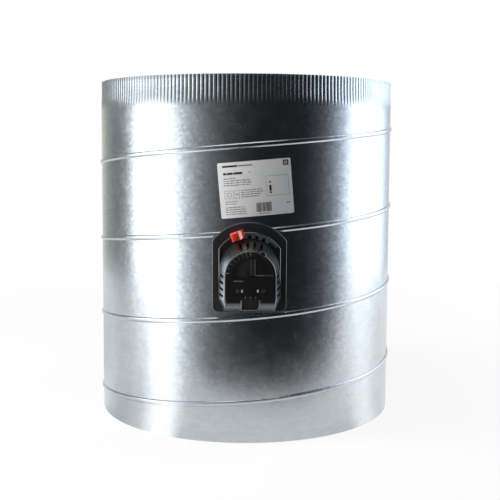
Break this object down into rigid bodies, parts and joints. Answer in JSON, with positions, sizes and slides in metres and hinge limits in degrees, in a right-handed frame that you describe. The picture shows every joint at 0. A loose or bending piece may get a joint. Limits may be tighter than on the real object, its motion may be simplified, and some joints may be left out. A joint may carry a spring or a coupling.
{
  "type": "motorized duct damper",
  "caption": "Round spiral duct section with a butterfly blade on a through shaft and a spring return actuator with position pointer and wire terminals.",
  "frame": {"origin": "on the duct's axis, in the plane of the plain rim", "axes": "+Z along the duct, from the plain rim to the crimped end; -Y out of the actuator's face; +X to the right, seen from in front of the actuator"},
  "size_m": [0.4102, 0.4662, 0.452],
  "materials": {
    "galvanised": "galvanised, light spangle",
    "label_white": "satin printed film",
    "bush_tan": "moulded nylon",
    "steel": "zinc plated",
    "spring_steel": "oiled spring steel",
    "foam": "closed cell foam",
    "plate_grey": "moulded, fine texture",
    "housing_black": "moulded, satin gloss",
    "button_black": "moulded",
    "stop_red": "glossy moulded",
    "motor_can": "pressed steel can",
    "brass": "machined",
    "board_green": "solder mask",
    "board_parts": "moulded parts",
    "light_pipe": "clear acrylic",
    "gear_white": "moulded acetal",
    "gasket_rubber": "EPDM rubber sheet"
  },
  "bodies": {
    "duct": {"duct_tube": "galvanised", "crimped_end": "galvanised", "lock_seam": "galvanised", "data_label": "label_white", "front_bush": "bush_tan", "rear_bush": "bush_tan", "front_push_ring": "spring_steel", "rear_push_ring": "spring_steel", "foam_gasket": "foam", "mounting_plate": "plate_grey", "plate_rivets": "steel", "actuator_base": "housing_black", "base_screws": "steel", "front_cover": "housing_black", "gear_plate": "steel", "gear_plate_screws": "steel", "idler_axle": "steel", "motor": "motor_can", "motor_screws": "steel", "board_standoffs": "brass", "circuit_board": "board_green", "board_screws": "steel", "board_parts": "board_parts", "light_open": "light_pipe", "light_closed": "light_pipe", "terminal_block": "button_black", "wire_clamps": "brass"},
    "blade": {"damper_shaft": "steel", "blade_plate_near": "galvanised", "blade_gasket": "gasket_rubber", "blade_plate_far": "galvanised", "blade_rivets": "steel", "blade_bolts": "steel", "blade_washers": "steel", "blade_nuts": "steel", "shaft_clips": "spring_steel", "output_gear": "gear_white", "hub_screw": "steel", "return_spring": "spring_steel", "indicator_pointer": "housing_black"},
    "idler": {"idler_gear": "gear_white"},
    "motor_rotor": {"motor_pinion": "brass"},
    "range_stop": {"range_stop": "stop_red"},
    "button_1": {"release_button_1": "button_black"},
    "button_2": {"release_button_2": "button_black"},
    "button_3": {"release_button_3": "button_black"}
  },
  "joints": [
    {"name": "blade_turn", "type": "hinge", "parent": "duct", "child": "blade", "pos_m": [0, 0, 0.2185], "axis": [0, -1, 0], "range_deg": [0, 90], "stiffness_Nm_per_rad": 0.25, "springref_deg": -57.3, "deforming": ["return_spring"]},
    {"name": "idler_turn", "type": "hinge", "parent": "duct", "child": "idler", "pos_m": [0.02036, 0, 0.19814], "axis": [0, -1, 0], "range_deg": [-450, 0]},
    {"name": "motor_turn", "type": "hinge", "parent": "duct", "child": "motor_rotor", "pos_m": [0.00608, 0, 0.20065], "axis": [0, -1, 0], "range_deg": [0, 1726]},
    {"name": "stop_pull", "type": "slide", "parent": "duct", "child": "range_stop", "axis": [0, -1, 0], "range_m": [0, 0.014]},
    {"name": "button_press_1", "type": "slide", "parent": "duct", "child": "button_1", "axis": [0, 1, 0], "range_m": [0, 0.0015], "stiffness_N_per_m": 200, "springref_m": -0.001},
    {"name": "button_press_2", "type": "slide", "parent": "duct", "child": "button_2", "axis": [0, 1, 0], "range_m": [0, 0.0015], "stiffness_N_per_m": 200, "springref_m": -0.001},
    {"name": "button_press_3", "type": "slide", "parent": "duct", "child": "button_3", "axis": [0, 1, 0], "range_m": [0, 0.0015], "stiffness_N_per_m": 200, "springref_m": -0.001}
  ],
  "couplings": [
    {"joint": "idler_turn", "follows": "blade_turn", "ratio": -5},
    {"joint": "motor_turn", "follows": "blade_turn", "ratio": 19.167}
  ]
}
